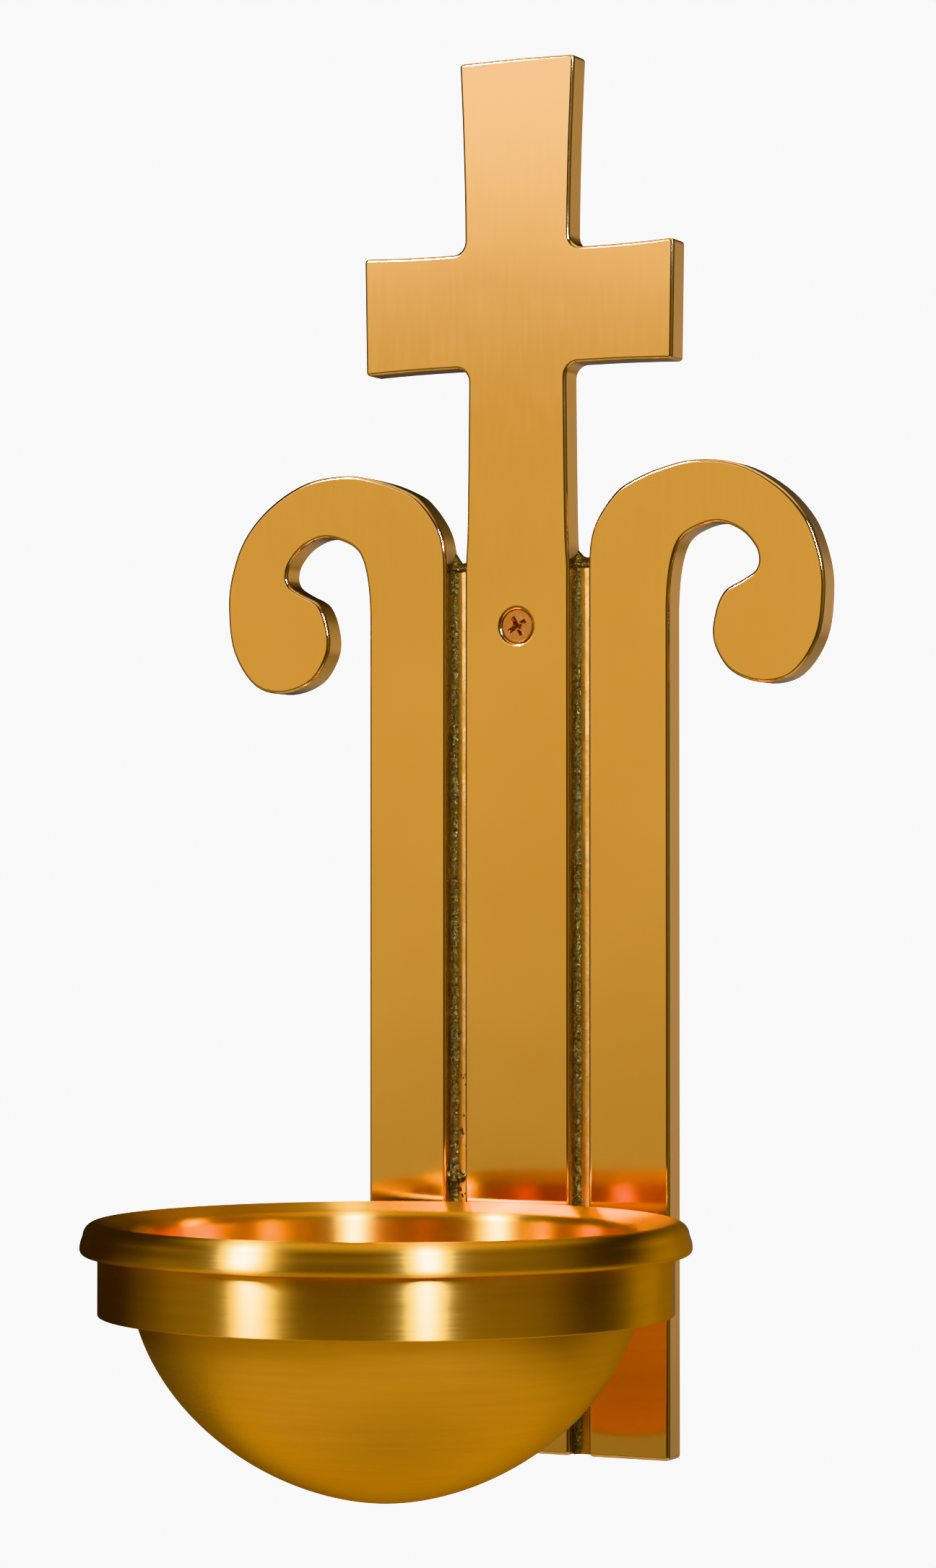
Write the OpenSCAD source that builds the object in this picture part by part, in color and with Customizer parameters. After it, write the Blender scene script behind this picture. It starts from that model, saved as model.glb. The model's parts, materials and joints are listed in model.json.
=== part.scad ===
// Wall-hung brass water font: a cross-shaped back bar between two scrolled
// side bars, with a spun bowl that lifts out of a ring bracket.
// X is right, Y runs into the wall, Z is up. The wall is the plane Y = 0 and
// the origin is on it, on the axis of the upper wall screw. Units are mm.

/* [Back plate] */

// thickness of the flat bars of the back plate
plate_t = 7.9; // [7:0.1:9]
// height of the plate from its foot to the top of the cross
plate_h = 384; // [376:1:392]
// width of the centre bar
bar_w = 31.7; // [30:0.1:33]
// width of each side bar
side_w = 23.8; // [22:0.1:25]
// width of the groove between the centre bar and a side bar
groove_w = 5.7; // [5:0.1:7]
// height of the spacer strip's top above the foot
groove_h = 244; // [230:1:245]
// height at which the side bars begin to curve outwards
shoulder_h = 243; // [238:1:245]

/* [Cross] */

// half the span of the cross arms
arm_reach = 46.8; // [42:0.1:52]
// height of the arms' underside above the foot
arm_low = 298.6; // [296:0.1:304]
// height of the arms' top above the foot
arm_high = 330.8; // [328:0.1:336]
// how much each edge of the upright is drawn in below the arms
waist = 1.05; // [0:0.05:2]
// how much each edge of the upright flares out at the head
flare = 1.55; // [0:0.05:3]
// radius of the inner corners of the cross
cross_fillet = 3.6; // [1:0.1:5]

/* [Grooves] */

// thickness of the spacer strips, which lie against the wall
strip_t = 2.8; // [2:0.1:4]
// leg of the braze fillets in the corners of the grooves
braze_leg = 1.5; // [0.8:0.1:2]

/* [Ring bracket] */

// outer radius of the ring
ring_r = 74.4; // [72:0.1:75.5]
// radial thickness of the ring
ring_t = 7.9; // [5:0.1:8]
// height of the ring's underside above the foot
ring_low = 44.7; // [42:0.1:48]
// height of the ring
ring_h = 15.5; // [12:0.1:17]
// distance from the plate's front face to the axis of the bowl
bowl_reach = 79.7; // [79.6:0.1:84]

/* [Bowl] */

// largest outer radius of the bowl's body
bowl_r = 66; // [60:0.1:66.2]
// depth of the bowl's curved body
bowl_depth = 57.1; // [52:0.1:62]
// fullness of the bowl's curve, where 2 is an ellipse
bowl_curve = 1.84; // [1.7:0.01:2.2]
// thickness of the spun sheet
sheet_t = 1.5; // [1:0.1:1.8]
// outer radius of the rolled rim
rim_r = 79; // [78.2:0.1:79.2]
// height of the rolled rim
rim_h = 8.4; // [8:0.1:11]
// slope of the rim's flange, in degrees
flange_slope = 14; // [8:0.5:16]

/* [Screws] */

// height of the upper wall screw above the foot
upper_screw_h = 227; // [220:1:235]
// distance between the two wall screws
screw_pitch = 203.2; // [195:0.1:206]
// radius of a wall screw's plain shank
shank_r = 2.41; // [2.2:0.01:2.5]
// radius of the flat screw heads
head_r = 4.65; // [4.4:0.05:4.9]
// length of a wall screw
wall_screw_len = 38; // [32:1:45]
// distance of each ring screw from the centre line
ring_screw_x = 8; // [7:0.1:10]
// turn of the upper screw's cross recess, in degrees
recess_turn = -30; // [-90:1:90]

/* [Hidden] */

$fn = 128;
bar_half = bar_w / 2;
side_in = bar_half + groove_w;
side_out = side_in + side_w;
front = -plate_t;
axis_y = front - bowl_reach;
ring_top = ring_low + ring_h;
rim_low = ring_top + 0.1;
ring_in = ring_r - ring_t;
pad_gap = bowl_reach - ring_r;
neck_r = shank_r + 0.19;
hole_r = shank_r + 0.4;
sink = 0.5;
lip_r = head_r + 1.05;
ring_bite = 5.6;
ring_screw_z = ring_low + ring_h / 2;
lower_screw_h = upper_screw_h - screw_pitch;
cone_tan = tan(41);

polished = [0.80, 0.58, 0.27];
satin = [0.72, 0.50, 0.17];
braze = [0.50, 0.36, 0.15];
copper = [0.78, 0.47, 0.27];

// ---- curves ----

function arc(c, r, a0, a1, n) =
  [for (i = [0:n]) c + r * [cos(a0 + (a1 - a0) * i / n), sin(a0 + (a1 - a0) * i / n)]];

// one span of a smooth curve from b to c, with a and d as its neighbours
function span(a, b, c, d, n) =
  let(
    u = norm(b - a),
    v = norm(c - b),
    w = norm(d - c),
    m = (c - a) * v / (u + v),
    k = (d - b) * v / (v + w)
  )
  [for (i = [0:n - 1]) let(t = i / n)
    (2 * t * t * t - 3 * t * t + 1) * b + (t * t * t - 2 * t * t + t) * m
    + (3 * t * t - 2 * t * t * t) * c + (t * t * t - t * t) * k];

function smooth(p, n) =
  [for (i = [1:len(p) - 3]) each span(p[i - 1], p[i], p[i + 1], p[i + 2], n)];

function flip(p) = [for (i = [len(p) - 1:-1:0]) [-p[i][0], p[i][1]]];

// ---- outlines, with heights measured from the plate's foot ----

arm_root = bar_half - waist;
head_root = bar_half + 0.05;

function cross_half() = concat(
  [[bar_half, 0]],
  [for (i = [0:6]) let(u = i / 6)
    [bar_half - waist * pow(u, 0.4), shoulder_h + (arm_low - 5 - shoulder_h) * u]],
  arc([arm_root + cross_fillet, arm_low - cross_fillet + 0.2], cross_fillet, 180, 92, 6),
  [for (i = [0:4]) let(u = i / 4)
    [arm_root + 8 + (arm_reach - arm_root - 9) * u, arm_low + 0.2 - 0.5 * u * u]],
  arc([arm_reach - 0.9, arm_low + 0.3], 0.6, -70, 0, 4),
  arc([arm_reach - 0.4, arm_high - 0.1], 0.6, 0, 80, 4),
  [for (i = [0:4]) let(u = 1 - i / 4)
    [head_root + 8 + (arm_reach - head_root - 9) * u, arm_high - 0.1 + 0.6 * u * u]],
  arc([head_root + cross_fillet, arm_high - 0.1 + cross_fillet], cross_fillet, 268, 180, 6),
  [for (i = [1:6]) let(u = i / 6)
    [head_root + flare * pow(u, 1.6), arm_high + 4 + (plate_h - 0.7 - arm_high - 4) * u]],
  arc([head_root + flare - 0.5, plate_h - 0.7], 0.5, 20, 85, 3),
  [[0, plate_h]]
);

// knots of the scroll, as offsets from its bar's outer edge and shoulder
scroll_knots = [
  [-23.8, -20], [-23.8, -1], [-23.2, 7.1], [-21, 13], [-15.5, 20], [-10.5, 23],
  [-3.3, 25.7], [7.2, 27.7], [20, 26.2], [31.8, 19.8], [40, 10.9], [44.2, 0.1], [45.1, -9],
  [43.2, -21.4], [36.4, -30.9], [27.6, -33.2], [18.2, -30], [13.4, -23.1], [12.8, -17],
  [15.8, -8.6], [22.1, -4.9], [25.2, -2.8], [26.1, -0.2], [25.2, 3.4], [20.9, 8],
  [14.2, 10.4], [6.9, 8.5], [3.1, 5.3], [0.8, -2.5], [0, -15], [0, -35]
];

function scroll_outline() = concat(
  [[side_in, 0]],
  [for (p = smooth(scroll_knots, 5))
    [side_out + (p[0] < 0 ? p[0] * side_w / 23.8 : p[0]), shoulder_h + p[1]]],
  [[side_out, 0]]
);

// the bowl's meridian from its pole to the height where it stands upright
function meridian(r, d, z, n) = [for (i = [0:n]) let(t = 90 * i / n)
  [r * pow(sin(t), 2 / bowl_curve), z - d * pow(cos(t), 2 / bowl_curve)]];

// ---- pieces ----

// from heights above the plate's foot to heights above the upper wall screw
module on_wall() {
  translate([0, 0, -upper_screw_h]) children();
}

module upright_slab(t) {
  rotate([90, 0, 0]) linear_extrude(t) children();
}

// a countersunk hole through the bar, its mouth eased by polishing
module countersunk_hole(z) {
  translate([0, front, z]) rotate([-90, 0, 0]) rotate_extrude()
    polygon([
      [0, -1], [lip_r + 2, -1], [lip_r, 0], [head_r + 0.1, sink], [head_r + 0.1, sink + 0.5],
      [hole_r, sink + 0.5 + (head_r + 0.1 - hole_r) / cone_tan],
      [hole_r, plate_t + 1], [0, plate_t + 1]
    ]);
}

module back_countersink(x) {
  translate([x, 0, ring_screw_z]) rotate([90, 0, 0]) rotate_extrude()
    polygon([
      [0, -1], [head_r + 0.1, -1], [head_r + 0.1, 0.6],
      [hole_r, 0.6 + (head_r + 0.1 - hole_r) / cone_tan], [hole_r, plate_t + 1], [0, plate_t + 1]
    ]);
}

module centre_cross_bar() {
  color(polished) on_wall() difference() {
    upright_slab(plate_t) polygon(concat(cross_half(), flip(cross_half())));
    countersunk_hole(upper_screw_h);
    countersunk_hole(lower_screw_h);
    back_countersink(ring_screw_x);
    back_countersink(-ring_screw_x);
  }
}

module right_scroll_bar() {
  color(polished) on_wall() upright_slab(plate_t) polygon(scroll_outline());
}

module left_scroll_bar() {
  color(polished) on_wall() upright_slab(plate_t) polygon(flip(scroll_outline()));
}

module right_spacer_strip() {
  color(braze) on_wall() translate([bar_half, -strip_t, 0]) cube([groove_w, strip_t, groove_h]);
}

module left_spacer_strip() {
  color(braze) on_wall() translate([-side_in, -strip_t, 0]) cube([groove_w, strip_t, groove_h]);
}

// a hollow-faced fillet in the corner at x, growing towards +X when side is 1
module corner_braze(x, side) {
  color(braze) on_wall() translate([x, -strip_t, 0]) scale_side(side)
    linear_extrude(groove_h - 0.5) difference() {
      translate([0, -braze_leg]) square(braze_leg);
      translate([braze_leg * 1.35, -braze_leg * 1.35]) circle(braze_leg * 1.38);
    }
}

module scale_side(side) {
  if (side > 0) children();
  if (side < 0) mirror([1, 0, 0]) children();
}

module left_outer_braze() {
  corner_braze(-side_in, 1);
}

module left_inner_braze() {
  corner_braze(-bar_half, -1);
}

module right_inner_braze() {
  corner_braze(bar_half, 1);
}

module right_outer_braze() {
  corner_braze(side_in, -1);
}

module ring_pad() {
  color(satin) on_wall() difference() {
    translate([-bar_half, front - pad_gap - 2, ring_low]) cube([bar_w, pad_gap + 2, ring_h]);
    translate([0, axis_y, ring_low - 1]) cylinder(r = ring_r, h = ring_h + 2);
    for (x = [-ring_screw_x, ring_screw_x])
      translate([x, front + 1, ring_screw_z]) rotate([90, 0, 0]) cylinder(r = hole_r, h = pad_gap + 5);
  }
}

module bowl_ring() {
  color(satin) on_wall() difference() {
    translate([0, axis_y, ring_low]) rotate_extrude() polygon([
      [ring_in + 0.4, 0], [ring_r - 0.4, 0], [ring_r, 0.4], [ring_r, ring_h - 0.4],
      [ring_r - 0.4, ring_h], [ring_in + 0.4, ring_h], [ring_in, ring_h - 0.4], [ring_in, 0.4]
    ]);
    for (x = [-ring_screw_x, ring_screw_x])
      translate([x, front, ring_screw_z]) rotate([90, 0, 0])
        cylinder(r = shank_r + 0.05, h = pad_gap + ring_bite + 0.6);
  }
}

// a cross recess in a flat head, with its mouth at z = 0 and wings that taper inwards
module cross_recess() {
  for (quarter = [0, 90])
    rotate([0, 0, quarter]) rotate([90, 0, 0]) translate([0, 0, -0.65]) linear_extrude(1.3)
      polygon([[-3.15, -0.5], [3.15, -0.5], [1.75, 1.9], [-1.75, 1.9]]);
  rotate_extrude() polygon([[0, -0.5], [1.35, -0.5], [1.35, 1.2], [0, 2.6]]);
}

// ridges of a drawn thread from a to b, with crest radius c and root radius r
function ridges(a, b, c, r, pitch) = let(n = floor((b - a) / pitch))
  [for (i = [0:n - 1]) each [[r, a + i * pitch], [c, a + (i + 0.42) * pitch], [c, a + (i + 0.58) * pitch]]];

module flat_head_screw(len, neck, plain_to, thread_c, thread_r, pitch, taper, turn) {
  difference() {
    rotate_extrude() polygon(concat(
      [[0, 0], [head_r - 0.25, 0], [head_r, 0.25], [head_r, 0.5]],
      [[neck, 0.5 + (head_r - neck) / cone_tan]],
      [[neck, plain_to[0]], [plain_to[2], plain_to[0]], [plain_to[2], plain_to[1]]],
      ridges(plain_to[1] + 0.3, len - taper, thread_c, thread_r, pitch),
      [[thread_r, len - taper], [0.35, len], [0, len]]
    ));
    rotate([0, 0, turn]) cross_recess();
  }
}

module wall_screw(turn) {
  rotate([-90, 0, 0]) flat_head_screw(
    wall_screw_len, neck_r, [plate_t - sink, plate_t - sink + 5.5, shank_r],
    shank_r - 0.06, 1.7, 1.95, 5, turn);
}

module upper_wall_screw() {
  color(copper) on_wall() translate([0, front + sink, upper_screw_h]) wall_screw(recess_turn);
}

module lower_wall_screw() {
  color(copper) on_wall() translate([0, front + sink, lower_screw_h]) wall_screw(65);
}

module ring_screw(x, turn) {
  color(copper) on_wall() translate([x, -0.1, ring_screw_z]) rotate([90, 0, 0]) flat_head_screw(
    plate_t + pad_gap + ring_bite, neck_r, [plate_t - 1, plate_t, shank_r - 0.06],
    shank_r - 0.03, shank_r - 0.4, 1.06, 0.7, turn);
}

module left_ring_screw() {
  ring_screw(-ring_screw_x, 10);
}

module right_ring_screw() {
  ring_screw(ring_screw_x, 50);
}

// outside of the rolled rim from the flange to the hem, set in by d
function rim_path(d) = let(
    crest_r = 3.5,
    c = [rim_r - 0.8 - crest_r, rim_low + rim_h - crest_r],
    a = 90 + flange_slope,
    p = c + (crest_r - d) * [cos(a), sin(a)],
    x = bowl_r - sheet_t + 0.6
  )
  concat(
    [[x, p[1] - (p[0] - x) * tan(flange_slope)]],
    arc(c, crest_r - d, a, 4, 12),
    [for (i = [1:3]) let(u = i / 3)
      [rim_r - d - 0.8 * (1 - u) * (1 - u), c[1] - (c[1] - rim_low - 1.7) * u]],
    arc([rim_r - 1.6, rim_low + 1.6], 1.6 - d, 0, -90, 6),
    [[ring_in + 4.6, rim_low + d]]
  );

module bowl() {
  outer = meridian(bowl_r, bowl_depth, 0, 40);
  inner = meridian(bowl_r - sheet_t, bowl_depth - sheet_t, 0, 40);
  wall_z = ring_top - 6.9;
  outside = rim_path(0);
  inside = rim_path(sheet_t);
  lip = outside[0];
  color(satin) on_wall() translate([0, axis_y, 0]) rotate_extrude() polygon(concat(
    [for (p = inner) [p[0], p[1] + wall_z]],
    [[bowl_r - sheet_t, lip[1] - 1.6], [bowl_r - sheet_t + 0.25, lip[1] - 0.7]],
    [for (i = [0:len(outside) - 1]) outside[i] + (i == 0 ? [0.6, 0.15] : [0, 0])],
    [for (i = [len(inside) - 1:-1:1]) inside[i]],
    [[bowl_r + 1.2, inside[0][1] + (bowl_r + 1.2 - inside[0][0]) * tan(flange_slope)]],
    [[bowl_r, inside[0][1] - 1]],
    [for (i = [len(outer) - 1:-1:0]) [outer[i][0], outer[i][1] + wall_z]]
  ));
}

centre_cross_bar();
left_scroll_bar();
right_scroll_bar();
left_spacer_strip();
right_spacer_strip();
left_outer_braze();
left_inner_braze();
right_inner_braze();
right_outer_braze();
ring_pad();
bowl_ring();
left_ring_screw();
right_ring_screw();
upper_wall_screw();
lower_wall_screw();
bowl();
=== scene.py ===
import json
import math
import random

import bmesh
import bpy
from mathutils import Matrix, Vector, noise


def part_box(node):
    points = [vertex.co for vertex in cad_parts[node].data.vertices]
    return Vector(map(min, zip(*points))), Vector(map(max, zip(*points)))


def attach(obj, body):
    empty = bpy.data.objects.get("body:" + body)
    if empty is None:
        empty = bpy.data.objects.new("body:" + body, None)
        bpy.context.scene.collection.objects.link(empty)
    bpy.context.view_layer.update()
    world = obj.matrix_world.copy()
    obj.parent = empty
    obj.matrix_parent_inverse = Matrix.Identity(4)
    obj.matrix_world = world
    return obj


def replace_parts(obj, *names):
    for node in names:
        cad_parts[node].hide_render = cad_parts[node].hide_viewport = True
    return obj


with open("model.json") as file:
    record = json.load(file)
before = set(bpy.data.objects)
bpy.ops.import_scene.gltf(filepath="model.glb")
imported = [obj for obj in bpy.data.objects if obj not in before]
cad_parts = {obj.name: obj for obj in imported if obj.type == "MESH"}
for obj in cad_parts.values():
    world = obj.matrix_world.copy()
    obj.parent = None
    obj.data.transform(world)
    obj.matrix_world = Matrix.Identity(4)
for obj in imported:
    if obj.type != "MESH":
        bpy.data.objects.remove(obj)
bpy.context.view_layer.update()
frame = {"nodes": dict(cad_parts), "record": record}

MM = 0.001
ON_AXIS = 1e-7  # a radius that counts as none
LOOK = {}  # materials by slot name


# ---- meshes with an exact normal at every face corner ----

class Shell:
    """The points and faces of one closed mesh, with a normal for each face corner."""

    def __init__(self):
        self.points, self.faces, self.normals = [], [], []

    def ring(self, points):
        """Adds points and gives their indices."""
        first = len(self.points)
        self.points += [Vector(p) for p in points]
        return list(range(first, len(self.points)))

    def face(self, corners, normals):
        """Adds a face, turned so that it looks the way its normals do."""
        p = [self.points[i] for i in corners]
        own = (p[1] - p[0]).cross(p[2] - p[0])
        if len(p) == 4:
            own += (p[2] - p[0]).cross(p[3] - p[0])
        if own.dot(sum(normals, Vector())) < 0:
            corners, normals = corners[::-1], normals[::-1]
        self.faces.append(list(corners))
        self.normals += list(normals)

    def band(self, a, b, na, nb):
        """A closed strip of faces between two rings; a ring of one point is a pole."""
        n = max(len(a), len(b))
        for i in range(n):
            j = (i + 1) % n
            if len(a) == 1:
                self.face([a[0], b[j], b[i]], [na[0], nb[j], nb[i]])
            elif len(b) == 1:
                self.face([a[i], a[j], b[0]], [na[i], na[j], nb[0]])
            else:
                self.face([a[i], a[j], b[j], b[i]], [na[i], na[j], nb[j], nb[i]])

    def flat(self, loops, normal):
        """Fills the flat region between an outer loop and the loops of its holes."""
        bm = bmesh.new()
        for loop in loops:
            made = [bm.verts.new(self.points[i]) for i in loop]
            for a, b in zip(made, made[1:] + made[:1]):
                bm.edges.new((a, b))
        bm.verts.index_update()
        index = [i for loop in loops for i in loop]
        bmesh.ops.triangle_fill(bm, use_beauty=True, edges=bm.edges[:], normal=normal)
        for f in bm.faces:
            self.face([index[v.index] for v in f.verts], [normal] * 3)
        bm.free()

    def build(self, name, body, slot, edge=None):
        """Makes the object; edge is 1 at each point of a worn edge, as the material reads it."""
        mesh = bpy.data.meshes.new(name)
        mesh.from_pydata([tuple(p) for p in self.points], [], self.faces)
        for f in mesh.polygons:
            f.use_smooth = True
        mesh.normals_split_custom_set([tuple(n.normalized()) for n in self.normals])
        if edge is not None:
            layer = mesh.attributes.new("edge", "FLOAT", "POINT")
            layer.data.foreach_set("value", edge)
        return place(name, mesh, body, slot)


def place(name, mesh, body, slot):
    """Makes the object of a finished mesh, with its material, on its body."""
    obj = bpy.data.objects.new(name, mesh)
    bpy.context.scene.collection.objects.link(obj)
    mesh.materials.append(LOOK[slot])
    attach(obj, body)
    return obj


def profile_normals(profile, closed, flip, limit=40):
    """The normals before and after each point of a profile, equal where it bends gently.

    limit is the largest gentle bend in degrees, and flip is -1 where the profile runs backwards.
    """
    n = len(profile)
    seg = []
    for i in range(n if closed else n - 1):
        a, b = profile[i], profile[(i + 1) % n]
        d = Vector((b[0] - a[0], b[1] - a[1]))
        seg.append(Vector((d.y, -d.x)).normalized() * flip)
    before, after = [], []
    for i in range(n):
        s, e = seg[i - 1] if closed or i else seg[0], seg[min(i, len(seg) - 1)]
        if s.angle(e, 0) < math.radians(limit):
            s = e = (s + e).normalized()
        before.append(s)
        after.append(e)
    return before, after


def turn(shell, profile, spot, segments, closed=True, flip=1):
    """Turns a profile of (radius, height); spot(r, h, angle) gives a point or a direction."""
    before, after = profile_normals(profile, closed, flip)
    angles = [2 * math.pi * i / segments for i in range(segments)]
    rings = [shell.ring([spot(r, h, a) for a in (angles if r > ON_AXIS else angles[:1])])
             for r, h in profile]
    origin = Vector(spot(0, 0, 0))

    def normals(n, count):
        if count == 1:
            return [Vector(spot(0, n.y, 0)) - origin]
        return [Vector(spot(n.x, n.y, a)) - origin for a in angles]

    for i in range(len(rings) if closed else len(rings) - 1):
        j = (i + 1) % len(rings)
        if len(rings[i]) == 1 and len(rings[j]) == 1:
            continue
        shell.band(rings[i], rings[j], normals(after[i], len(rings[i])),
                   normals(before[j], len(rings[j])))
    return rings


def around_z(cx, cy):
    """The spot function of turn() for an upright axis."""
    return lambda r, h, a: (cx + r * math.cos(a), cy + r * math.sin(a), h)


def around_y(cx, cz):
    """The spot function of turn() for an axis that runs into the wall."""
    return lambda r, h, a: (cx + r * math.cos(a), h, cz + r * math.sin(a))


# ---- outlines of the flat bars ----

def outline(node, y, flat=2e-6):
    """The outer outline of a node's flat face at that y, as (x, z) points, anticlockwise."""
    mesh = frame["nodes"][node].data
    edges = set()
    for f in mesh.polygons:
        co = [mesh.vertices[i].co for i in f.vertices]
        if all(abs(c.y - y) < flat for c in co):
            keys = [(round(c.x, 6), round(c.z, 6)) for c in co]
            for a, b in zip(keys, keys[1:] + keys[:1]):
                if (b, a) in edges:
                    edges.discard((b, a))
                else:
                    edges.add((a, b))
    left = dict(sorted(edges))
    loops = []
    while left:
        start, here = next(iter(left.items()))
        loop = [start]
        del left[start]
        while here != start and here in left:
            loop.append(here)
            here = left.pop(here)
        loops.append([Vector(p) for p in loop])
    best = max(loops, key=lambda l: max(p.y for p in l) - min(p.y for p in l))
    if area(best) < 0:
        best.reverse()
    return best


def cross(u, v):
    """Positive where v lies to the left of u."""
    return u.x * v.y - u.y * v.x


def area(loop):
    """The signed area inside an outline: positive when it runs anticlockwise."""
    return sum(cross(a, b) for a, b in zip(loop, loop[1:] + loop[:1])) / 2


def crossing(a, b, c, d):
    """Where the line through a and b meets the line through c and d."""
    u, v = b - a, d - c
    return a + u * (cross(c - a, v) / cross(u, v))


def turning(loop, i):
    """The angle by which an outline turns left at its point i."""
    u, v = loop[i] - loop[i - 1], loop[(i + 1) % len(loop)] - loop[i]
    return math.atan2(cross(u, v), u.dot(v))


def sharpened(loop, short=0.32 * MM):
    """The outline with each run of very short edges put back to one corner."""
    n = len(loop)
    tiny = [(loop[(i + 1) % n] - loop[i]).length < short for i in range(n)]
    first = next(i for i in range(n) if not tiny[i] and not tiny[i - 1])
    out, i = [], 0
    while i < n:
        k = (first + i) % n
        if not tiny[k]:
            out.append(loop[k])
            i += 1
            continue
        j = i
        while tiny[(first + j) % n]:
            j += 1
        a, b = loop[k - 1], loop[k]
        c, d = loop[(first + j) % n], loop[(first + j + 1) % n]
        out.append(crossing(a, b, c, d))
        i = j + 1
    return out


def rounded(loop, r, steps=6, sharp=math.radians(28)):
    """The outline with an arc of radius r at every corner that turns by more than sharp."""
    out = []
    for i in range(len(loop)):
        t = turning(loop, i)
        if abs(t) < sharp:
            out.append(loop[i])
            continue
        back = (loop[i - 1] - loop[i]).normalized()
        start = loop[i] + back * (r * math.tan(abs(t) / 2))
        side = Vector((back.y, -back.x)) * (1 if t > 0 else -1)
        centre = start + side * r
        spoke = start - centre
        for k in range(steps + 1):
            c, s = math.cos(t * k / steps), math.sin(t * k / steps)
            out.append(centre + Vector((spoke.x * c - spoke.y * s, spoke.x * s + spoke.y * c)))
    return out


def outward(loop, least=0.5):
    """At each point of an outline, its outward normal and the stretch that keeps an inset even.

    least keeps the stretch under 1 / least at a very sharp point.
    """
    out = []
    for i in range(len(loop)):
        u = (loop[i] - loop[i - 1]).normalized()
        v = (loop[(i + 1) % len(loop)] - loop[i]).normalized()
        n = Vector((u.y + v.y, -u.x - v.x)).normalized()
        out.append((n, 1 / max(least, n.dot(Vector((u.y, -u.x))))))
    return out


def bar(name, node, holes=()):
    """A polished flat bar: the node's outline with rolled-over front and eased back edges.

    holes are (x, z, profile) of the seats turned through it from front to back.
    """
    low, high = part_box(node)
    shell = Shell()
    corner, roll, ease = 1.15 * MM, 0.95 * MM, 0.35 * MM
    loop = rounded(sharpened(outline(node, low.y)), corner)
    side = outward(loop)
    rows = [(roll - roll * math.cos(a), low.y + roll - roll * math.sin(a), a, -1)
            for a in (math.radians(x) for x in (90, 78, 64, 48, 32, 16, 0))]
    rows += [(ease - ease * math.cos(a), high.y - ease + ease * math.sin(a), a, 1)
             for a in (math.radians(x) for x in (0, 30, 60, 90))]
    rings, normals = [], []
    for inset, y, a, way in rows:
        rings.append(shell.ring([
            (p.x - n.x * k * inset, y, p.y - n.y * k * inset) for p, (n, k) in zip(loop, side)]))
        normals.append([Vector((n.x * math.cos(a), way * math.sin(a), n.y * math.cos(a)))
                        for n, k in side])
    for i in range(len(rings) - 1):
        shell.band(rings[i], rings[i + 1], normals[i], normals[i + 1])
    front, back = [rings[0]], [rings[-1]]
    for x, z, profile in holes:
        made = turn(shell, profile, around_y(x, z), segments=72, closed=False, flip=-1)
        front.append(made[0])
        back.append(made[-1])
    shell.flat(front, Vector((0, -1, 0)))
    shell.flat(back, Vector((0, 1, 0)))
    worn = [0.0] * len(shell.points)
    for ring_points, (inset, y, a, way) in zip(rings, rows):
        if way < 0 and 0 < a < math.radians(90):
            for i in ring_points:
                worn[i] = 1.0
    obj = shell.build(name, "wall_bracket", "polished_brass", worn)
    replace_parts(obj, node)


def hole_centre(node):
    """The x and z of a screw's axis."""
    low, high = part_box(node)
    return (low.x + high.x) / 2, (low.z + high.z) / 2


HEAD_R, HOLE_R = 4.75 * MM, 2.81 * MM  # a screw head's seat and the hole through the bar
CONE = (HEAD_R - HOLE_R) / math.tan(math.radians(41))  # depth of a countersink's cone


def screw_seat(front, back):
    """The wall screw's countersink, its lip drawn over by polishing."""
    lip, sink, land, ease = 5.7 * MM, 0.5 * MM, 0.5 * MM, 0.15 * MM
    steps, reach = 6, 0.95  # the drawn lip: its faces, and how far in it comes
    rows = []
    for k in range(steps + 1):
        a = math.radians(90 * k / steps)
        rows.append((lip - (lip - HEAD_R) * math.sin(a) * reach, front + sink * (1 - math.cos(a))))
    return rows + [(HEAD_R, front + sink * 1.06), (HEAD_R, front + sink + land),
                   (HOLE_R, front + sink + land + CONE), (HOLE_R, back - ease),
                   (HOLE_R + ease, back)]


def back_seat(front, back):
    """A countersink in the bar's back for a ring screw."""
    deep, ease_in, ease_out = 0.6 * MM, 0.1 * MM, 0.05 * MM
    return [(HOLE_R + ease_in, front), (HOLE_R, front + ease_in),
            (HOLE_R, back - deep - CONE), (HEAD_R, back - deep),
            (HEAD_R, back - ease_out), (HEAD_R + ease_out, back)]


def bars():
    """The three bars, with the seats of the four screws in the middle one."""
    low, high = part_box("centre_cross_bar")
    holes = [(*hole_centre(n), screw_seat(low.y, high.y))
             for n in ("upper_wall_screw", "lower_wall_screw")]
    holes += [(*hole_centre(n), back_seat(low.y, high.y))
              for n in ("left_ring_screw", "right_ring_screw")]
    bar("cross_bar", "centre_cross_bar", holes)
    bar("scroll_bar_left", "left_scroll_bar")
    bar("scroll_bar_right", "right_scroll_bar")


# ---- bowl and ring, whose profiles are in millimetres ----

BODY_R, BODY_DEPTH = 66, 57.1  # the bowl's round body, outside
ROUND_BELOW = 6.9  # the round body starts this far below the ring's top
SHEET = 1.5  # thickness of the spun sheet
RIM_H, CREST_R, HEM_R = 8.4, 3.5, 1.6  # the rim: its height, and its crest's and hem's radii
RIM_GAP = 0.1  # room between the rim and the ring
RING_IN, RING_T = 66.5, 7.9  # the ring's inner radius and radial thickness
HEM_REACH = 4.6  # the hem ends this far outside the ring's inner radius
SLOPE = 14  # the flange's slope in degrees
SEGMENTS = 288


def arc(cx, cy, r, a0, a1, n):
    """n + 1 points on a circle from angle a0 to a1, in degrees."""
    angles = [math.radians(a0 + (a1 - a0) * i / n) for i in range(n + 1)]
    return [(cx + r * math.cos(a), cy + r * math.sin(a)) for a in angles]


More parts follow.
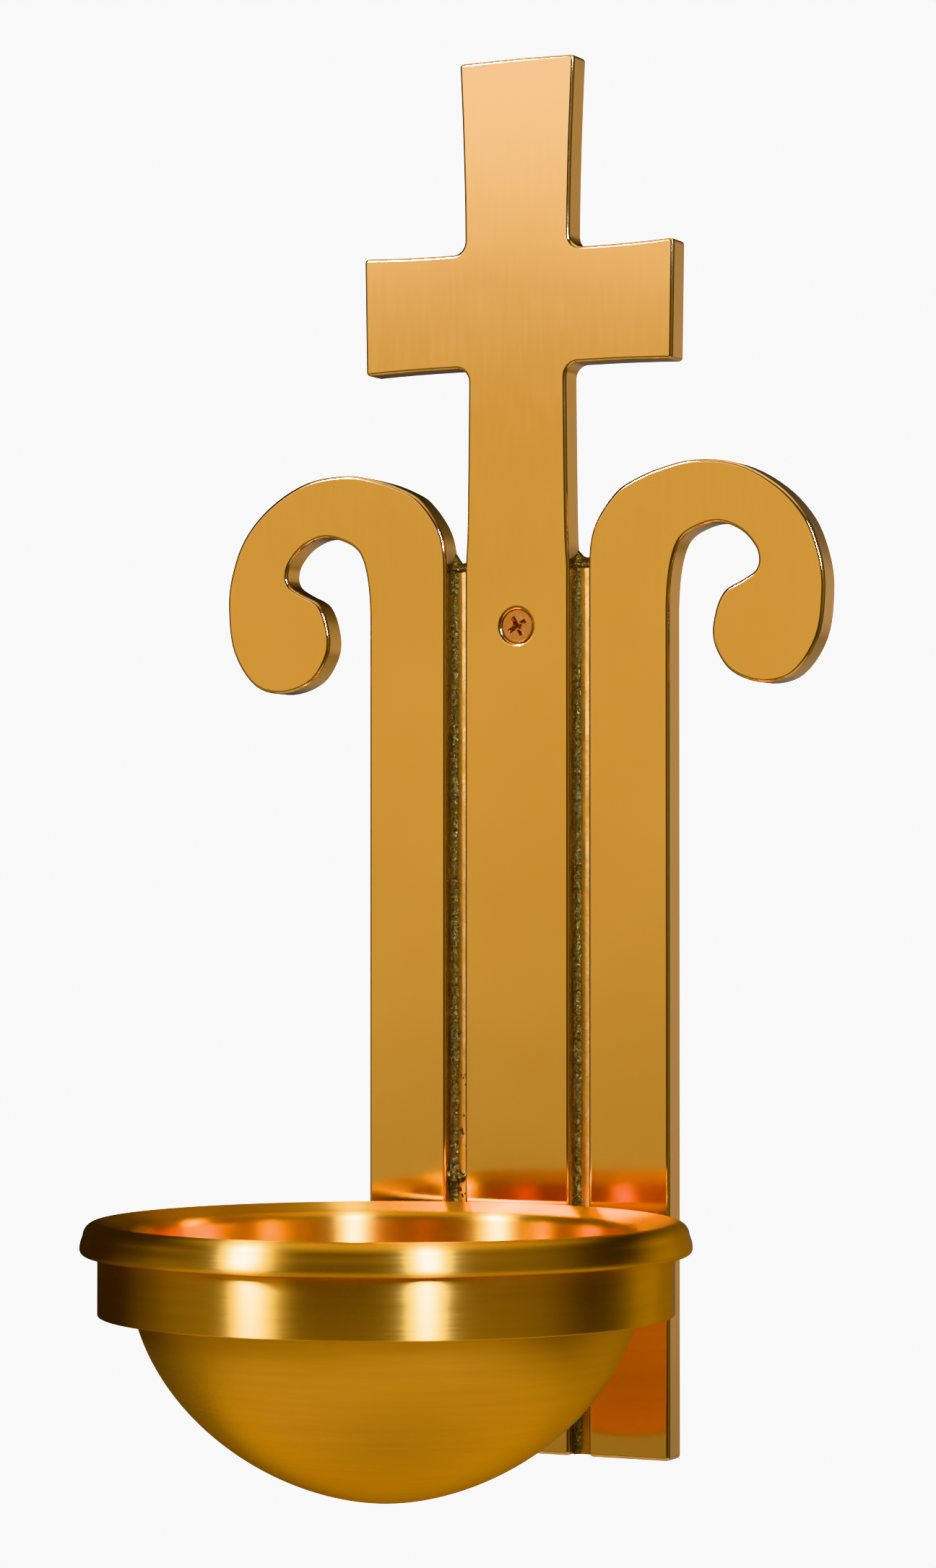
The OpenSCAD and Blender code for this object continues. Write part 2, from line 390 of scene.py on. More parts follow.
def meridian(r, d, top, n=96, curve=1.84):
    """The body's curve from its pole up, a superellipse; a curve of 2 would be an ellipse."""
    out = []
    for i in range(n + 1):
        t = math.pi / 2 * i / n
        out.append((r * math.sin(t) ** (2 / curve),
                    top - d * max(0.0, math.cos(t)) ** (2 / curve)))
    return out


def rim_path(d, rim_r, rim_low):
    """The spun flange, its rolled crest, the upright band and the hem, set in by d."""
    swell = 0.8  # how far the band leans out from the crest down
    cx, cz = rim_r - swell - CREST_R, rim_low + RIM_H - CREST_R
    a = 90 + SLOPE
    px = cx + (CREST_R - d) * math.cos(math.radians(a))
    pz = cz + (CREST_R - d) * math.sin(math.radians(a))
    x = BODY_R - SHEET + 0.6
    tan = math.tan(math.radians(SLOPE))
    rows = [(r, pz - (px - r) * tan) for r in (x + (px - x) * u / 4 for u in range(4))]
    rows += arc(cx, cz, CREST_R - d, a, 4, 18)
    band_low = rim_low + HEM_R + 0.1
    for i in range(1, 6):
        u = i / 5
        rows.append((rim_r - d - swell * (1 - u) ** 2, cz - (cz - band_low) * u))
    rows += arc(rim_r - HEM_R, rim_low + HEM_R, HEM_R - d, 0, -90, 8)
    rows.append((RING_IN + HEM_REACH, rim_low + d))
    return rows


def bowl():
    """The spun bowl: body, flange and hollow rim in one closed profile, inside first."""
    low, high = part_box("bowl")
    ring_low, ring_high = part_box("bowl_ring")
    cx, cy = (low.x + high.x) / 2, (ring_low.y + ring_high.y) / 2
    top, rim_r = ring_high.z / MM, (high.x - low.x) / 2 / MM
    rim_low, wall_top = top + RIM_GAP, top - ROUND_BELOW
    outer = meridian(BODY_R, BODY_DEPTH, wall_top)
    inner = meridian(BODY_R - SHEET, BODY_DEPTH - SHEET, wall_top)
    over, under = rim_path(0, rim_r, rim_low), rim_path(SHEET, rim_r, rim_low)
    tan = math.tan(math.radians(SLOPE))
    # the wall turns softly into the flange
    soft, inside_r = 2.8, BODY_R - SHEET
    corner = over[0][1] - (over[0][0] - inside_r) * tan
    turn_in = arc(inside_r + soft, corner - soft * math.tan(math.radians(45 - SLOPE / 2)),
                  soft, 180, 90 + SLOPE, 10)
    # the same turn from outside, which the ring hides
    wide, (under_r, under_h) = BODY_R + 1.2, under[0]
    neck = [(wide, under_h + (wide - under_r) * tan),
            (BODY_R + 0.3, under_h - 0.3), (BODY_R, under_h - 1)]
    profile = inner + turn_in + over[1:] + under[:0:-1] + neck + outer[::-1]
    shell = Shell()
    turn(shell, [(r * MM, h * MM) for r, h in profile], around_z(cx, cy), SEGMENTS, flip=-1)
    obj = shell.build("spun_bowl", "bowl", "satin_brass")
    obj.data.materials.append(LOOK["satin_body"])
    for f in obj.data.polygons:
        x, y = f.center.x - cx, f.center.y - cy
        reach = math.hypot(x, y)
        faces_out = f.normal.x * x + f.normal.y * y - f.normal.z * reach > 0
        if f.center.z < (top - 1) * MM and reach > 0.1 * MM and faces_out:
            f.material_index = 1  # the body's outside, brushed less strictly
    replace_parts(obj, "bowl")


def ring():
    """The flat-band ring, its edges broken by 0.4 mm."""
    low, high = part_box("bowl_ring")
    cx, cy, r = (low.x + high.x) / 2, (low.y + high.y) / 2, (high.x - low.x) / 2 / MM
    bottom, top, inside, e = low.z / MM, high.z / MM, r - RING_T, 0.4
    profile = (arc(inside + e, bottom + e, e, 180, 270, 5) + arc(r - e, bottom + e, e, -90, 0, 5)
               + arc(r - e, top - e, e, 0, 90, 5) + arc(inside + e, top - e, e, 90, 180, 5))
    shell = Shell()
    turn(shell, [(x * MM, z * MM) for x, z in profile], around_z(cx, cy), SEGMENTS)
    obj = shell.build("turned_ring", "wall_bracket", "satin_brass")
    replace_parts(obj, "bowl_ring")


# ---- braze metal ----

def rough(p, seed, scale):
    """Noise from about -1 to 1 at a point."""
    return noise.noise(Vector((p[0] * scale + seed * 7.3, p[1] * scale - seed * 3.1, p[2] * scale)))


def braze_piece(name, bm):
    """A smooth piece of braze metal from a bmesh, which is freed."""
    mesh = bpy.data.meshes.new(name)
    bm.to_mesh(mesh)
    bm.free()
    for f in mesh.polygons:
        f.use_smooth = True
    return place(name, mesh, "wall_bracket", "braze")


def from_rings(name, rings):
    """A closed piece from a list of rings with equally many points, capped at both ends."""
    bm = bmesh.new()
    made = [[bm.verts.new(p) for p in points] for points in rings]
    n = len(rings[0])
    for a, b in zip(made, made[1:]):
        for j in range(n):
            k = (j + 1) % n
            bm.faces.new((a[j], a[k], b[k], b[j]))
    bm.faces.new(made[0][::-1])
    bm.faces.new(made[-1])
    bmesh.ops.recalc_face_normals(bm, faces=bm.faces)
    return braze_piece(name, bm)


def bead(name, node, side, seed, gain, blobs):
    """A lumpy hollow fillet that runs up a groove's corner.

    side is the way it grows along X, gain(height) is how rough it gets, and blobs are
    (height, half width, size) of its larger lumps, in mm above the node's foot.
    """
    low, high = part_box(node)
    corner, bed = (low.x if side > 0 else high.x), high.y
    sunk_x, sunk_y = 0.25 * MM, 0.3 * MM  # how deep its back lies in the bar and in the strip
    step, skin = 0.4 * MM, 0.01 * MM  # the rows' pitch, and the least thickness over the strip
    wall_mean, foot_mean = 1.75, 1.35  # the fillet's two legs, up the bar and over the strip
    swell, dip = 0.8, 0.05  # how a lump widens the legs, and the deepest pit
    across = 8  # faces from the bar's wall to the strip
    rows = []
    count = int((high.z - low.z) / step)
    for i in range(count + 1):
        z = low.z + (high.z - low.z) * i / count
        h, z_mm = (z - low.z) / MM, z / MM
        strength = gain(h)
        lump = sum(size * math.exp(-((h - at) / wide) ** 2) for at, wide, size in blobs)
        wall = (wall_mean + 0.35 * rough((0, 0, z), seed, 220)
                + 0.3 * strength * rough((0, 5, z), seed, 900) + swell * lump)
        foot = (foot_mean + 0.22 * rough((3, 0, z), seed, 260)
                + 0.35 * strength * rough((9, 5, z), seed, 1000) + swell * lump)
        row = [(corner - side * sunk_x, y, z) for y in (bed + sunk_y, bed - wall * MM)]
        for k in range(across + 1):
            t = math.radians(90 * k / across)
            u, v = foot * (1 - math.cos(t)), wall * (1 - math.sin(t))
            out_u, out_v = foot - u, wall - v
            push = (0.10 * rough((u, 3 * v, z_mm), seed, 1.3)
                    + 0.16 * strength * rough((1.2 * u, 1.2 * v, 1.1 * z_mm), seed + 5, 1.9)
                    + 0.5 * lump * (1 + rough((u, v, z_mm), seed, 1.1)))
            fade = math.sin(math.radians(180 * (k + 0.6) / (across + 1.2)))
            push = max(-dip, push + dip) * fade / math.hypot(out_u, out_v)
            row.append((corner + side * (u + out_u * push) * MM,
                        bed - max(v + out_v * push, 0.0) * MM - skin, z))
        row.append((corner + side * foot * MM, bed + sunk_y, z))
        rows.append(row)
    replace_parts(from_rings(name, rows), node)


def web(name, node, seed, left_rise, right_rise):
    """The ragged meniscus of braze metal that bridges a groove above its spacer strip.

    It creeps up the bars by left_rise and right_rise mm more than in the middle.
    """
    low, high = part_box(node)
    across, up = 30, 34  # faces each way
    lap, back = 0.5 * MM, 0.12 * MM  # how far it runs into the bars, and its room at the back
    foot, bend = 2.2, 1.2  # in mm under the strip's top: where it ends, and starts to thin
    middle_rise, thick, least = 1.0, 2.75, 0.3  # mm: its rise in the middle, and its depths
    rings = []
    for j in range(up + 1):
        line = []
        for i in range(across + 1):
            u = i / across
            side = abs(2 * u - 1)  # 0 in the middle, 1 at the bars
            rise = (middle_rise + left_rise * max(0, 1 - 2 * u) ** 2
                    + right_rise * max(0, 2 * u - 1) ** 2)
            top = rise + 0.35 * rough((3 * u, 0, 0), seed, 1.7)
            z = -foot + (top + foot) * (j / up)
            ridge = 1.15 * math.exp(-((z + 0.3 + 0.4 * rough((4 * u, 1, 0), seed, 1)) / 0.75) ** 2)
            lean = max(0.0, z) / (rise + 0.4)
            depth = (thick * (1 - 0.8 * lean ** 1.4) + ridge * (0.55 + 0.7 * side ** 2)
                     + 0.9 * side ** 5 * (1 - 0.4 * lean)
                     + 0.22 * rough((6 * u, 1.4 * z, 0), seed, 1.5))
            if z < -bend:
                depth -= 0.75 * (-z - bend)
            line.append((low.x - lap + (high.x - low.x + 2 * lap) * u,
                         -max(least, depth) * MM, high.z + z * MM))
        rings.append(line + [(x, -back, z) for x, y, z in line[::-1]])
    from_rings(name, rings)


def spatter():
    """Small drops of braze metal that froze beside the fillets."""
    random.seed(11)
    left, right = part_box("left_spacer_strip"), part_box("right_spacer_strip")
    bed, foot = left[0].y, left[0].z
    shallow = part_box("centre_cross_bar")[0].y * 0.72
    drops = []  # x, y, z and the radius in mm
    # on the left strip, on each groove's left wall, and low on the right strip
    for _ in range(34):
        h = 62 + 70 * random.random() ** 1.3
        drops.append((left[0].x + random.uniform(0.5, 4.4) * MM, bed, foot + h * MM,
                      random.uniform(0.22, 0.5)))
    for _ in range(16):
        h = random.uniform(70, 235)
        for strip, least, most in ((left, 0.14, 0.26), (right, 0.12, 0.22)):
            drops.append((strip[0].x + 0.02 * MM, random.uniform(shallow, strip[0].y),
                          strip[0].z + h * MM, random.uniform(least, most)))
    for _ in range(10):
        drops.append((right[0].x + random.uniform(1.0, 2.6) * MM, right[0].y,
                      foot + random.uniform(5, 30) * MM, random.uniform(0.2, 0.45)))
    # as the photo shows: a drop low in the left groove, and a lump in three parts across it
    drops += [(left[1].x - 0.02 * MM, bed * 2.2, foot + 103 * MM, 0.75),
              (left[0].x + 0.2 * MM, bed * 2.2, foot + 75.5 * MM, 0.8),
              (left[0].x + 2.2 * MM, bed * 1.1, foot + 74.5 * MM, 1.25),
              (left[0].x + 3.8 * MM, bed * 1.05, foot + 75 * MM, 1.0)]
    bm = bmesh.new()
    for n, (x, y, z, r) in enumerate(drops):
        for v in bmesh.ops.create_icosphere(bm, subdivisions=2, radius=1.0)["verts"]:
            k = 1 + 0.28 * noise.noise(v.co * 1.6 + Vector((n * 3.7, 0, 0)))  # uneven drops
            v.co = Vector((x, y, z)) + Vector((v.co.x, v.co.y * 0.8, v.co.z * 1.15)) * k * r * MM
    braze_piece("braze_spatter", bm)


def brazing():
    """All braze metal: rougher low in the left groove, where the photo shows most of it."""
    def left_gain(h):
        return 0.55 + 1.5 * math.exp(-((h - 85) / 45) ** 2)

    def right_gain(h):
        return 0.5 + 0.9 * math.exp(-(h / 40) ** 2)

    for name, node, side, seed, gain, blobs in (
            ("braze_left_outer", "left_outer_braze", 1, 1, left_gain,
             [(75, 2.6, 1.5), (96, 2.0, 0.5), (112, 3.0, 0.35), (127, 2.0, 0.3), (143, 3.0, 0.35)]),
            ("braze_left_inner", "left_inner_braze", -1, 2, left_gain,
             [(75, 2.2, 0.9), (103, 1.4, 0.8)]),
            ("braze_right_inner", "right_inner_braze", 1, 3, right_gain,
             [(9, 3, 0.5), (20, 2, 0.4)]),
            ("braze_right_outer", "right_outer_braze", -1, 4, right_gain, [(12, 3, 0.4)])):
        bead(name, node, side, seed, gain, blobs)
    web("braze_web_left", "left_spacer_strip", 6, 3.4, 1.4)
    web("braze_web_right", "right_spacer_strip", 9, 3.0, 2.2)
    spatter()


# ---- node materials ----

class Tree:
    """Short forms for building a node tree."""

    def __init__(self, tree):
        self.tree = tree
        tree.nodes.clear()

    def put(self, node, key, value):
        """Links a socket to a node's input, or sets a plain value there."""
        socket = node.inputs[key]
        if isinstance(value, bpy.types.NodeSocket):
            self.tree.links.new(value, socket)
        else:
            socket.default_value = value

    def add(self, kind, props=None, **sockets):
        """A new node with its properties and inputs; an underscore stands for a space."""
        node = self.tree.nodes.new("ShaderNode" + kind)
        for k, v in (props or {}).items():
            setattr(node, k, v)
        for k, v in sockets.items():
            self.put(node, k.replace("_", " "), v)
        return node

    def math(self, op, *values):
        node = self.add("Math", {"operation": op})
        for i, v in enumerate(values):
            self.put(node, i, v)
        return node.outputs[0]

    def span(self, value, a, b, c, d, smooth=False):
        """Maps a..b onto c..d, held at both ends."""
        node = self.add("MapRange", {"interpolation_type": "SMOOTHSTEP" if smooth else "LINEAR"})
        for i, v in enumerate((value, a, b, c, d)):
            self.put(node, i, v)
        return node.outputs[0]

    def mix(self, factor, a, b):
        node = self.add("Mix", {"data_type": "RGBA"})
        for i, v in ((0, factor), (6, a), (7, b)):
            self.put(node, i, v)
        return node.outputs[2]

    def noise(self, vector, scale, detail=3.0, rough=0.5, distort=0.0):
        return self.add("TexNoise", Vector=vector, Scale=scale, Detail=detail, Roughness=rough,
                        Distortion=distort).outputs[0]

    def stretched(self, vector, x, y, z):
        """Coordinates scaled each way: noise runs long where the number is low."""
        node = self.add("VectorMath", {"operation": "MULTIPLY"})
        self.put(node, 0, vector)
        self.put(node, 1, (x, y, z))
        return node.outputs[0]

    def bump(self, height, strength, distance, normal=None):
        node = self.add("Bump", Strength=strength, Distance=distance, Height=height)
        if normal is not None:
            self.put(node, "Normal", normal)
        return node.outputs[0]


def new_look(slot):
    """A metal material, with its tree, its shader and the object coordinates."""
    material = bpy.data.materials.new(slot + "_look")
    material.use_nodes = True
    t = Tree(material.node_tree)
    shader = t.add("BsdfPrincipled")
    t.add("OutputMaterial", Surface=shader.outputs[0])
    shader.inputs["Metallic"].default_value = 1.0
    where = t.add("TexCoord").outputs["Object"]
    material.diffuse_color = (0.75, 0.5, 0.15, 1)  # for flat viewport shading
    LOOK[slot] = material
    return t, shader, where


def rgb(r, g, b):
    """A colour socket's value."""
    return (r, g, b, 1.0)


def in_groove(t, where, blot):
    """1 on the bars' side faces inside the two grooves, where polishing never reached."""
    strip_low, strip_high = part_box("right_spacer_strip")
    x, y, z = t.add("SeparateXYZ", Vector=where).outputs
    across = t.math("ABSOLUTE", x)
    reach, fade_y, fade_z = 0.3 * MM, 0.8 * MM, 6 * MM
    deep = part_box("centre_cross_bar")[0].y + 0.9 * MM
    inner, outer = strip_low.x - reach, strip_high.x + reach
    mask = t.span(across, inner - reach, inner, 0, 1)
    for part in (t.span(across, outer, outer + reach, 1, 0), t.span(y, deep, deep + fade_y, 0, 1),
                 t.span(z, strip_high.z, strip_high.z + fade_z, 1, 0),
                 t.span(blot, 0.3, 0.6, 0.75, 1.0)):
        mask = t.math("MULTIPLY", mask, part)
    return mask


def polished_brass():
    """Buffed, lacquered bar: faint waviness, buffing lines, edges worn a little paler."""
    t, s, where = new_look("polished_brass")
    broad = t.noise(where, 16, 2, 0.5)
    cloud = t.noise(where, 90, 4, 0.6)
    buff = t.noise(t.stretched(where, 900, 900, 60), 1.0, 3, 0.6)
    fine = t.noise(t.stretched(where, 2600, 2600, 240), 1.0, 2, 0.5)
    colour = t.mix(t.span(broad, 0.35, 0.65, 0, 1),
                   rgb(0.905, 0.452, 0.098), rgb(0.945, 0.478, 0.108))
    colour = t.mix(t.span(cloud, 0.45, 0.75, 0, 0.35), colour, rgb(0.93, 0.44, 0.085))
    edge = t.add("Attribute", {"attribute_name": "edge"}).outputs["Fac"]
    worn = t.math("MULTIPLY", edge, t.span(t.noise(where, 420, 3), 0.4, 0.62, 0.15, 0.7))
    colour = t.mix(worn, colour, rgb(0.96, 0.60, 0.22))
    stain = in_groove(t, where, cloud)
    colour = t.mix(stain, colour, rgb(0.20, 0.125, 0.04))
    t.put(s, "Base Color", colour)
    dull = t.math("ADD", t.span(buff, 0.3, 0.7, 0.06, 0.08), t.span(cloud, 0.4, 0.8, 0.0, 0.02))
    t.put(s, "Roughness", t.math("ADD", dull, t.math("MULTIPLY", stain, 0.22)))
    wave = t.bump(t.noise(where, 30, 1, 0.4), 0.004, 0.02)
    lines = t.bump(buff, 0.004, 0.0004, wave)
    t.put(s, "Normal", t.bump(fine, 0.006, 0.0002, lines))
    s.inputs["Coat Weight"].default_value = 0.35
    s.inputs["Coat Roughness"].default_value = 0.05


def spacer_brass():
    """Drawn strip between the bars, stained by heat."""
    t, s, where = new_look("spacer_brass")
    stain = t.noise(where, 120, 4, 0.6)
    grain = t.noise(t.stretched(where, 2400, 2400, 60), 1.0, 3, 0.6)
    colour = t.mix(t.span(stain, 0.35, 0.7, 0, 1),
                   rgb(0.86, 0.40, 0.07), rgb(0.62, 0.27, 0.045))
    colour = t.mix(t.span(grain, 0.45, 0.7, 0, 0.3), colour, rgb(0.45, 0.2, 0.05))
    t.put(s, "Base Color", colour)
    t.put(s, "Roughness", t.span(stain, 0.3, 0.7, 0.2, 0.34))
    t.put(s, "Normal", t.bump(grain, 0.08, 0.0003, t.bump(stain, 0.2, 0.0008)))


def braze_metal():
    """Frozen braze metal: dark skin, bright pinpoints, crumbly surface."""
    t, s, where = new_look("braze")
    lumps = t.noise(where, 900, 4, 0.65, 0.4)
    grit = t.noise(where, 3200, 3, 0.7)
    colour = t.mix(t.span(lumps, 0.38, 0.66, 0, 1),
                   rgb(0.060, 0.032, 0.005), rgb(0.28, 0.145, 0.018))
    colour = t.mix(t.span(grit, 0.61, 0.68, 0, 0.9), colour, rgb(1.0, 0.66, 0.22))
    t.put(s, "Base Color", colour)
    t.put(s, "Roughness", t.span(lumps, 0.35, 0.65, 0.42, 0.16))
    t.put(s, "Normal", t.bump(grit, 0.55, 0.0003, t.bump(lumps, 0.8, 0.0009)))


def satin_brass(slot="satin_brass", anisotropic=1.0, least_rough=0.27):
    """Brass brushed round the axis: fine rings of scratches that pull highlights upright."""
    t, s, where = new_look(slot)
    low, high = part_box("bowl_ring")
    moved = t.add("VectorMath", {"operation": "SUBTRACT"})
    t.put(moved, 0, where)
    t.put(moved, 1, ((low.x + high.x) / 2, (low.y + high.y) / 2, 0))
    x, y, z = t.add("SeparateXYZ", Vector=moved.outputs[0]).outputs
    radius = t.math("SQRT", t.math("ADD", t.math("MULTIPLY", x, x), t.math("MULTIPLY", y, y)))
    level = t.math("ADD", radius, z)

    def rings(around, across):
        """Coordinates that stretch noise into rings: low numbers run long, high ones thin."""
        scaled = [t.math("MULTIPLY", v, k) for v, k in ((x, around), (y, around), (level, across))]
        return t.add("CombineXYZ", X=scaled[0], Y=scaled[1], Z=scaled[2]).outputs[0]

    fine_rings, coarse_rings = rings(14, 2600), rings(26, 520)
    fine = t.noise(fine_rings, 1.0, 3, 0.65)
    mid = t.noise(coarse_rings, 1.0, 4, 0.6)
    cloud = t.noise(where, 34, 3, 0.55)
    colour = t.mix(t.span(cloud, 0.35, 0.65, 0, 1),
                   rgb(0.86, 0.37, 0.035), rgb(0.90, 0.395, 0.045))
    colour = t.mix(t.span(mid, 0.4, 0.7, 0, 0.4), colour, rgb(0.76, 0.305, 0.025))
    colour = t.mix(t.span(fine, 0.58, 0.74, 0, 0.3), colour, rgb(0.95, 0.50, 0.09))
    t.put(s, "Base Color", colour)
    t.put(s, "Roughness", t.math("ADD", t.span(fine, 0.3, 0.7, least_rough, least_rough + 0.05),
                                 t.span(mid, 0.35, 0.7, 0, 0.03)))
    t.put(s, "Normal", t.bump(fine, 0.03, 0.0001, t.bump(mid, 0.012, 0.0003)))
    s.inputs["Specular Tint"].default_value = (1.0, 0.72, 0.30, 1.0)  # stays brassy at the edges
    s.inputs["Anisotropic"].default_value = anisotropic
    s.inputs["Anisotropic Rotation"].default_value = 0.25  # a quarter turn: highlights stand up
    t.put(s, "Tangent", t.add("Tangent", {"direction_type": "RADIAL", "axis": "Z"}).outputs[0])


def screw_brass():
    """Coppery plated screw with faint turning rings and handling marks."""
    t, s, where = new_look("screw_brass")
    blot = t.noise(where, 500, 4, 0.6)
    turned = t.noise(t.stretched(where, 300, 9000, 300), 1.0, 2, 0.5)
    colour = t.mix(t.span(blot, 0.35, 0.7, 0, 1), rgb(0.66, 0.25, 0.045), rgb(0.52, 0.185, 0.03))
    t.put(s, "Base Color", colour)
    t.put(s, "Roughness", t.span(blot, 0.3, 0.7, 0.12, 0.22))
    t.put(s, "Normal", t.bump(turned, 0.04, 0.0002, t.bump(blot, 0.1, 0.0002)))
    s.inputs["Coat Weight"].default_value = 0.2
    s.inputs["Coat Roughness"].default_value = 0.1


def carried_over(*names):
    """CAD nodes whose shape is right keep their mesh and take a material of this script."""
    slots = {p["node"]: p["material_slot"] for p in frame["record"]["subparts"]}
    for name in names:
        obj = frame["nodes"][name]
        for i in range(len(obj.data.materials)):
            obj.data.materials[i] = LOOK[slots[name]]


# ---- stage, light and camera ----

AIM = Vector((0, -0.06, -0.08))  # the softboxes point at the middle of the font
WHITE = (1, 1, 1)
STREAK_BLUE = (0.2, 0.325, 1.05)  # cool light, so that its streaks on brass come out white


def mixed_shader(t, factor, a, b):
    """Shader a where factor is 0, and b where it is 1."""
    node = t.add("MixShader")
    for i, v in enumerate((factor, a, b)):
        t.put(node, i, v)
    return node.outputs[0]


def floor():
    """A pale round floor half a metre under the upper screw, out of the photo camera's sight."""
    mesh = bpy.data.meshes.new("studio_floor")
    bm = bmesh.new()
    bmesh.ops.create_circle(bm, cap_ends=True, segments=96, radius=0.5)
    bm.to_mesh(mesh)
    bm.free()
    obj = bpy.data.objects.new("studio_floor", mesh)
    bpy.context.scene.collection.objects.link(obj)
    obj.location = (0.08, -0.22, -0.50)
    material = bpy.data.materials.new("pale_floor")
    material.use_nodes = True
    t = Tree(material.node_tree)
    shader = t.add("BsdfPrincipled")
    where = t.add("TexCoord").outputs["Object"]
    t.put(shader, "Base Color", t.mix(t.span(t.noise(where, 5, 3), 0.3, 0.7, 0, 1),
                                      rgb(0.80, 0.79, 0.77), rgb(0.84, 0.83, 0.81)))
    shader.inputs["Roughness"].default_value = 0.8
    # seen directly it is nearly as pale as the background; the metal sees it plainly lit
    pale = t.add("Emission", Color=rgb(1.0, 1.0, 1.0))
    pale.inputs["Strength"].default_value = 1.4
    seen = t.math("MULTIPLY", t.add("LightPath").outputs["Is Camera Ray"], 0.7)
    t.add("OutputMaterial",
          Surface=mixed_shader(t, seen, shader.outputs[0], pale.outputs[0]))
    mesh.materials.append(material)
    return obj


def direction(azimuth, elevation):
    """A unit vector; azimuth 0 is in front of the plate and 90 on its right, in degrees."""
    a, e = math.radians(azimuth), math.radians(elevation)
    return Vector((math.sin(a) * math.cos(e), -math.cos(a) * math.cos(e), math.sin(e)))


def softbox(name, azimuth, elevation, distance, width, height, power, colour=WHITE):
    """A soft rectangular light that points at AIM from that direction."""
    light = bpy.data.lights.new(name, "AREA")
    light.shape = "RECTANGLE"
    light.size, light.size_y = width, height
    light.energy = power
    light.color = colour
    obj = bpy.data.objects.new(name, light)
    bpy.context.scene.collection.objects.link(obj)
    way = direction(azimuth, elevation)
    obj.location = AIM + way * distance
    obj.rotation_euler = way.to_track_quat("Z", "Y").to_euler()
    obj.visible_camera = False
    return obj


def along(t, ray, way):
    """The cosine of the angle between a ray and a direction."""
    dot = t.add("VectorMath", {"operation": "DOT_PRODUCT"})
    t.put(dot, 0, ray)
    t.put(dot, 1, way)
    return dot.outputs["Value"]


def glow(t, total, amount, colour):
    """total plus colour times amount, where colour may be brighter than 1."""
    scaled = t.add("VectorMath", {"operation": "SCALE"})
    t.put(scaled, 0, tuple(colour))
    t.put(scaled, "Scale", amount)
    summed = t.add("VectorMath", {"operation": "ADD"})
    t.put(summed, 0, total)
    t.put(summed, 1, scaled.outputs[0])
    return summed.outputs[0]


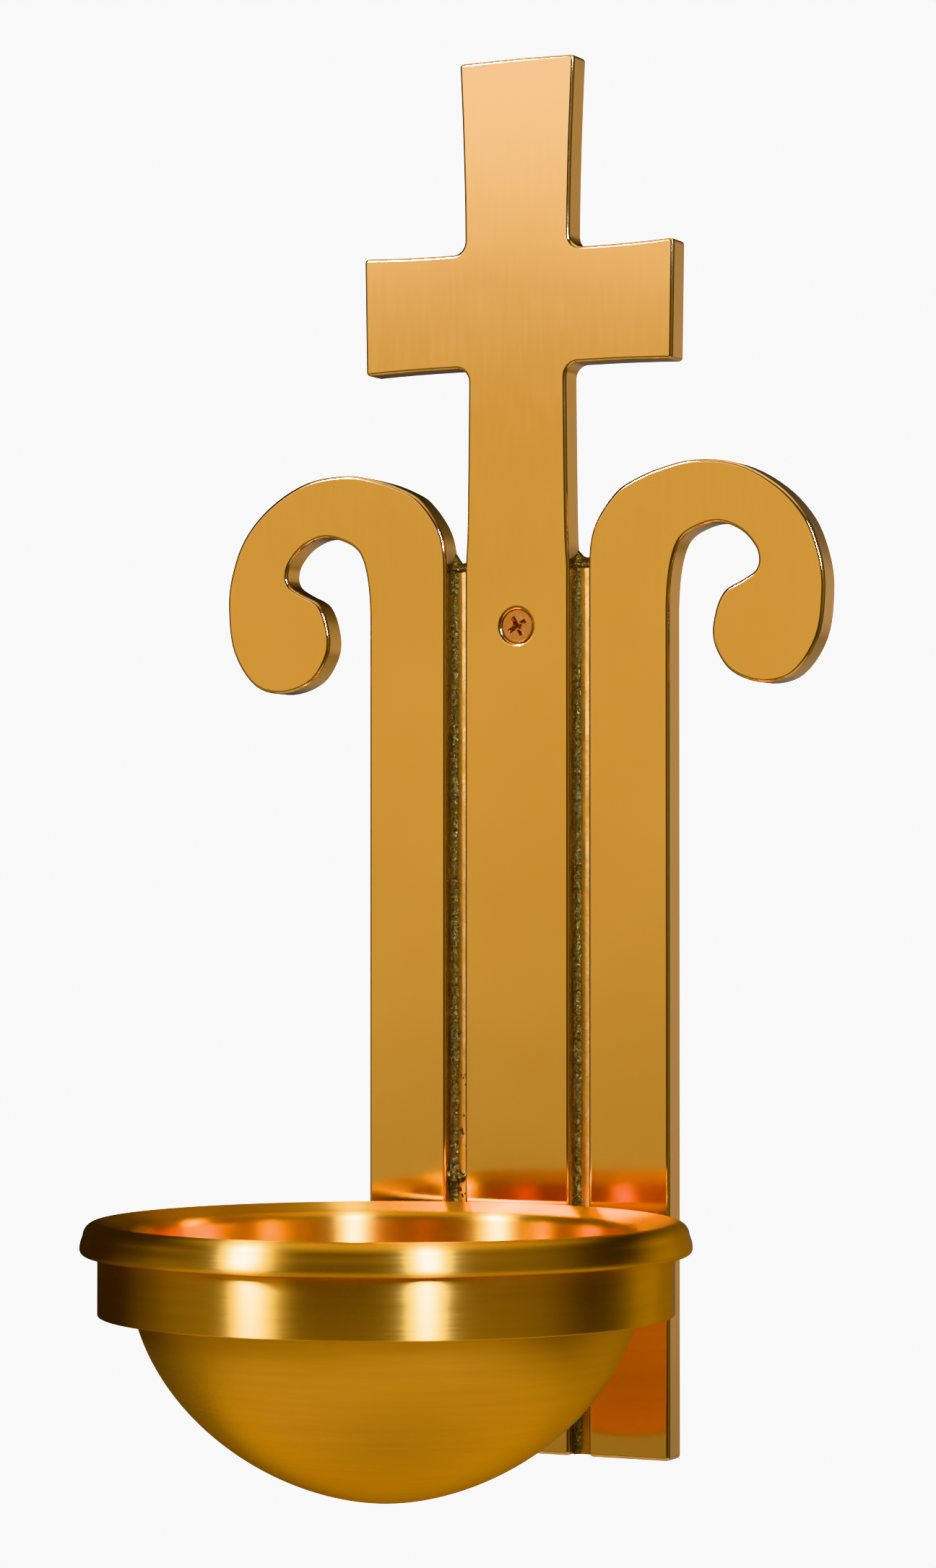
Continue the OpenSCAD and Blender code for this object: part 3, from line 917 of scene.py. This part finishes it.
def studio():
    """The room as the metal sees it: soft lobes of light by direction; pale to the camera."""
    world = bpy.data.worlds.new("studio")
    bpy.context.scene.world = world
    world.use_nodes = True
    t = Tree(world.node_tree)
    ray = t.add("TexCoord").outputs["Generated"]
    total = (0.03, 0.028, 0.025)
    lobes = [  # azimuth, elevation, outer and inner angle, strength, colour
        (-54, 4, 28, 4, 0.17, WHITE),
        (-62, -20, 44, 8, 0.14, WHITE),
        (8, 5, 40, 10, 0.03, WHITE),
        (168, -12, 48, 8, 0.27, WHITE),
        (34, 4, 16, 3, 0.10, WHITE),
        (75, 8, 38, 8, 0.19, WHITE),
        (152, 4, 20, 4, 0.20, (1, 1, 0.9)),
        (0, 90, 52, 20, 0.9, WHITE),
    ]
    for azimuth, elevation, outer, inner, strength, colour in lobes:
        lobe = t.span(along(t, ray, direction(azimuth, elevation)), math.cos(math.radians(outer)),
                      math.cos(math.radians(inner)), 0, 1, smooth=True)
        total = glow(t, total, lobe, [strength * c for c in colour])
    height = along(t, ray, (0, 0, 1))
    ground = t.span(height, -0.2, -0.6, 0, 1, smooth=True)
    total = glow(t, total, ground, (0.15, 0.15, 0.14))
    # the pale panel that the flat front mirrors: narrow sideways, with a bluer band up high
    facing = -26
    aside = t.math("ABSOLUTE", along(t, ray, direction(facing + 90, 0)))
    panel = t.math("MULTIPLY", t.span(aside, 0.15, 0.28, 1, 0, smooth=True),
                   t.span(along(t, ray, direction(facing, 0)), 0.1, 0.4, 0, 1))
    bands = [  # where it starts, is full, starts to fade and ends, and its colour
        (-0.30, 0.06, 0.45, 0.70, (0.67, 0.66, 0.61)),
        (0.112, 0.215, 0.195, 0.222, (0.74, 1.06, 2.85)),
    ]
    for start, full, fade, end, colour in bands:
        rise = t.math("MULTIPLY", t.span(height, start, full, 0, 1, smooth=True),
                      t.span(height, fade, end, 1, 0, smooth=True))
        total = glow(t, total, t.math("MULTIPLY", panel, rise), colour)
    room = t.add("Background", Color=total)
    room.inputs["Strength"].default_value = 1.0
    pale = t.add("Background", Color=rgb(1.0, 1.0, 1.0))
    pale.inputs["Strength"].default_value = 1.6
    seen = t.add("LightPath").outputs["Is Camera Ray"]
    t.add("OutputWorld", Surface=mixed_shader(t, seen, room.outputs[0], pale.outputs[0]))


def lamps(ground):
    """Two tall softboxes that light all but the floor, and a lamp that lights only the floor."""
    spared = bpy.data.collections.new("not_lit_by_softboxes")
    spared.objects.link(ground)
    spared.collection_objects[0].light_linking.link_state = "EXCLUDE"
    for box in (softbox("softbox_left", -31.5, 29, 4.0, 0.30, 1.3, 1200, STREAK_BLUE),
                softbox("softbox_right", 42.5, 25, 4.0, 0.26, 1.4, 1050, STREAK_BLUE)):
        box.light_linking.receiver_collection = spared
    lamp = softbox("floor_light", 0, 89, 1.6, 1.2, 1.2, 14)
    lamp.visible_glossy = False
    only = bpy.data.collections.new("lit_by_floor_light")
    only.objects.link(ground)
    lamp.light_linking.receiver_collection = only


def camera():
    """The photo's camera, solved from the plate's straight edges, the ring and the rim."""
    data = bpy.data.cameras.new("camera")
    obj = bpy.data.objects.new("camera", data)
    bpy.context.scene.collection.objects.link(obj)
    obj.location = (0.5091, -1.1032, -0.0775)
    obj.rotation_euler = (math.radians(91.253), 0, math.radians(25.70))
    data.sensor_width = 36
    data.lens = 100.82
    data.shift_x, data.shift_y = 0.0068, 0.0175
    bpy.context.scene.camera = obj
    bpy.context.scene.view_settings.view_transform = "Khronos PBR Neutral"


def main():
    for look in (polished_brass, spacer_brass, braze_metal, satin_brass, screw_brass):
        look()
    satin_brass("satin_body", anisotropic=0.3, least_rough=0.33)
    camera()
    ground = floor()
    studio()
    lamps(ground)
    bars()
    bowl()
    ring()
    brazing()
    carried_over("left_spacer_strip", "right_spacer_strip", "ring_pad", "left_ring_screw",
                 "right_ring_screw", "upper_wall_screw", "lower_wall_screw")


main()
